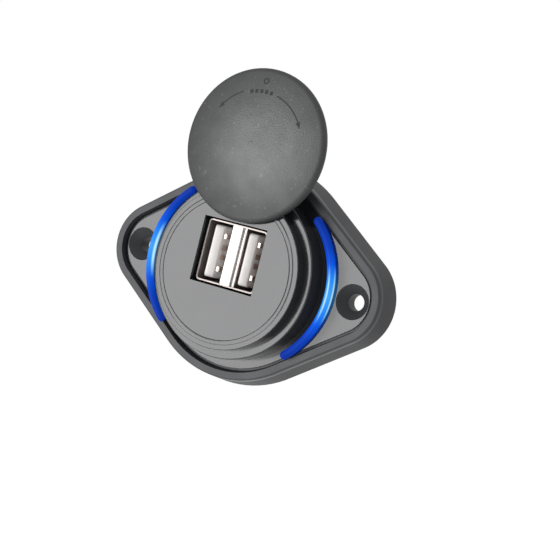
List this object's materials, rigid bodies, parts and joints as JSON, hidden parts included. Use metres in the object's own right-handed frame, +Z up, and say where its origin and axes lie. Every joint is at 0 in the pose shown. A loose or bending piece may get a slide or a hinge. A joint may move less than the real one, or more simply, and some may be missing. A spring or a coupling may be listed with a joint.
{
  "type": "panel-mount dual USB charging socket with swivel cover",
  "caption": "Diamond flange panel with a stepped round body, two USB-A ports side by side, lit arc light guides and a round cover that swivels aside.",
  "frame": {"origin": "middle of the panel's back plane, on the body's axis, midway between the two screw holes", "axes": "-Y out of the face, +Y along the barrel to the rear, +X along the panel to the right seen from the front, +Z up towards the opened cover"},
  "size_m": [0.067, 0.0473, 0.066],
  "materials": {
    "panel": "satin",
    "bezel": "satin",
    "face": "satin",
    "cover": "fine spark texture",
    "guide": "lit from inside",
    "shell": "tin plated",
    "insulator": "moulded",
    "contacts": "gold flash",
    "steel": "zinc plated",
    "terminal": "tin plated brass",
    "board": "solder mask",
    "ferrite": "sintered",
    "can": "sleeved can",
    "chip": "moulded",
    "lamp": "lit lens"
  },
  "bodies": {
    "housing": {"flange_panel": "panel", "light_guide_left": "guide", "light_guide_right": "guide", "front_bezel": "bezel", "face_plate": "face", "usb_shell": "shell", "usb_divider": "shell", "usb_insulator": "insulator", "usb_tongue_left": "insulator", "usb_tongue_right": "insulator", "usb_contacts_left": "contacts", "usb_contacts_right": "contacts", "rear_housing": "panel", "case_screws": "steel", "rear_cap": "panel", "main_board": "board", "power_inductor": "ferrite", "capacitors": "can", "regulator_chip": "chip", "lamp_board_left": "board", "lamp_board_right": "board", "lamp_left": "lamp", "lamp_right": "lamp", "terminal_positive": "terminal", "terminal_negative": "terminal"},
    "cover": {"swivel_cover": "cover", "cover_washer": "steel", "cover_screw": "steel"}
  },
  "joints": [
    {"name": "cover_swivel", "type": "hinge", "parent": "housing", "child": "cover", "pos_m": [0, -0.0134, 0.013], "axis": [0, -1, 0], "range_deg": [-177, 183]}
  ]
}
